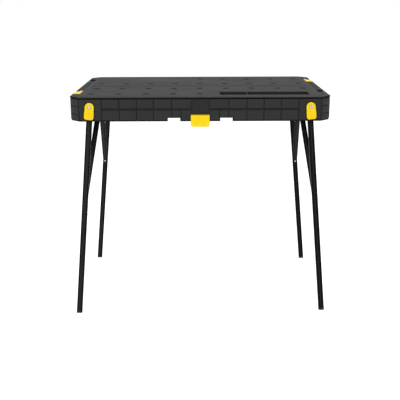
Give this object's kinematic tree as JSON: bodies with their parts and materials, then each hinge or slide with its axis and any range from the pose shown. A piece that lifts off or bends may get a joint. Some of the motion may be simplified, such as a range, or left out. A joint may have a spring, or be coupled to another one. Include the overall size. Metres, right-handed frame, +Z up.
{
  "type": "folding workbench",
  "caption": "Folding workbench with a moulded top of clamp holes and a sunk tray, and two leg frames that nest under it, held by yellow locks and a latch.",
  "frame": {"origin": "on the floor under the middle of the worktop", "axes": "+X along the long side, +Y from the front to the back, +Z up"},
  "size_m": [0.869, 0.6175, 0.755],
  "materials": {
    "deck_plastic": "fine moulded texture, dark grey",
    "skirt_plastic": "moulded, near black",
    "yellow_plastic": "satin yellow",
    "leg_paint": "dark grey powder coat",
    "zinc_steel": "zinc plated",
    "foot_rubber": "matt black"
  },
  "bodies": {
    "bench_top": {"deck": "deck_plastic", "skirt": "skirt_plastic", "bracket_left_front": "zinc_steel", "pivot_pin_left_front": "zinc_steel", "bracket_screw_left_front": "zinc_steel", "hub_screw_left_front": "zinc_steel", "bracket_left_back": "zinc_steel", "pivot_pin_left_back": "zinc_steel", "bracket_screw_left_back": "zinc_steel", "hub_screw_left_back": "zinc_steel", "bracket_right_front": "zinc_steel", "pivot_pin_right_front": "zinc_steel", "bracket_screw_right_front": "zinc_steel", "hub_screw_right_front": "zinc_steel", "bracket_right_back": "zinc_steel", "pivot_pin_right_back": "zinc_steel", "bracket_screw_right_back": "zinc_steel", "hub_screw_right_back": "zinc_steel", "hub_bracket_left": "zinc_steel", "hub_pin_left": "zinc_steel", "hub_bracket_right": "zinc_steel", "hub_pin_right": "zinc_steel", "latch_pin": "zinc_steel"},
    "left_frame": {"hub_left": "zinc_steel", "leg_left_front": "leg_paint", "brace_left_front": "leg_paint", "foot_cap_left_front": "foot_rubber", "hub_rivet_left_front": "zinc_steel", "brace_rivet_left_front": "zinc_steel", "leg_left_back": "leg_paint", "brace_left_back": "leg_paint", "foot_cap_left_back": "foot_rubber", "hub_rivet_left_back": "zinc_steel", "brace_rivet_left_back": "zinc_steel"},
    "right_frame": {"hub_right": "zinc_steel", "leg_right_front": "leg_paint", "brace_right_front": "leg_paint", "foot_cap_right_front": "foot_rubber", "hub_rivet_right_front": "zinc_steel", "brace_rivet_right_front": "zinc_steel", "leg_right_back": "leg_paint", "brace_right_back": "leg_paint", "foot_cap_right_back": "foot_rubber", "hub_rivet_right_back": "zinc_steel", "brace_rivet_right_back": "zinc_steel"},
    "latch": {"front_latch": "yellow_plastic"},
    "tongue_left": {"link_tongue_left_front": "yellow_plastic"},
    "tongue_right": {"link_tongue_right_back": "yellow_plastic"},
    "lock_left_front": {"lock_lever_left_front": "yellow_plastic", "lock_arm_left_front": "zinc_steel", "lever_bolt_left_front": "zinc_steel"},
    "lock_left_back": {"lock_lever_left_back": "yellow_plastic", "lock_arm_left_back": "zinc_steel", "lever_bolt_left_back": "zinc_steel"},
    "lock_right_front": {"lock_lever_right_front": "yellow_plastic", "lock_arm_right_front": "zinc_steel", "lever_bolt_right_front": "zinc_steel"},
    "lock_right_back": {"lock_lever_right_back": "yellow_plastic", "lock_arm_right_back": "zinc_steel", "lever_bolt_right_back": "zinc_steel"}
  },
  "joints": [
    {"name": "left_fold", "type": "hinge", "parent": "bench_top", "child": "left_frame", "pos_m": [-0.35932, 0, 0.7035], "axis": [0, -1, 0], "range_deg": [0, 95.33]},
    {"name": "right_fold", "type": "hinge", "parent": "bench_top", "child": "right_frame", "pos_m": [0.35741, 0, 0.724], "axis": [0, 1, 0], "range_deg": [0, 95.33]},
    {"name": "lock_turn_left_front", "type": "hinge", "parent": "bench_top", "child": "lock_left_front", "pos_m": [-0.3575, -0.2985, 0.723], "axis": [0, 1, 0], "range_deg": [0, 30]},
    {"name": "lock_turn_left_back", "type": "hinge", "parent": "bench_top", "child": "lock_left_back", "pos_m": [-0.3575, 0.2985, 0.723], "axis": [0, 1, 0], "range_deg": [0, 30]},
    {"name": "lock_turn_right_front", "type": "hinge", "parent": "bench_top", "child": "lock_right_front", "pos_m": [0.3575, -0.2985, 0.723], "axis": [0, -1, 0], "range_deg": [0, 30]},
    {"name": "lock_turn_right_back", "type": "hinge", "parent": "bench_top", "child": "lock_right_back", "pos_m": [0.3575, 0.2985, 0.723], "axis": [0, -1, 0], "range_deg": [0, 30]},
    {"name": "latch_swing", "type": "hinge", "parent": "bench_top", "child": "latch", "pos_m": [0, -0.288, 0.7175], "axis": [-1, 0, 0], "range_deg": [0, 12], "stiffness_Nm_per_rad": 0.05},
    {"name": "tongue_left_slide", "type": "slide", "parent": "bench_top", "child": "tongue_left", "axis": [-1, 0, 0], "range_m": [0, 0.015]},
    {"name": "tongue_right_slide", "type": "slide", "parent": "bench_top", "child": "tongue_right", "axis": [1, 0, 0], "range_m": [0, 0.015]}
  ]
}
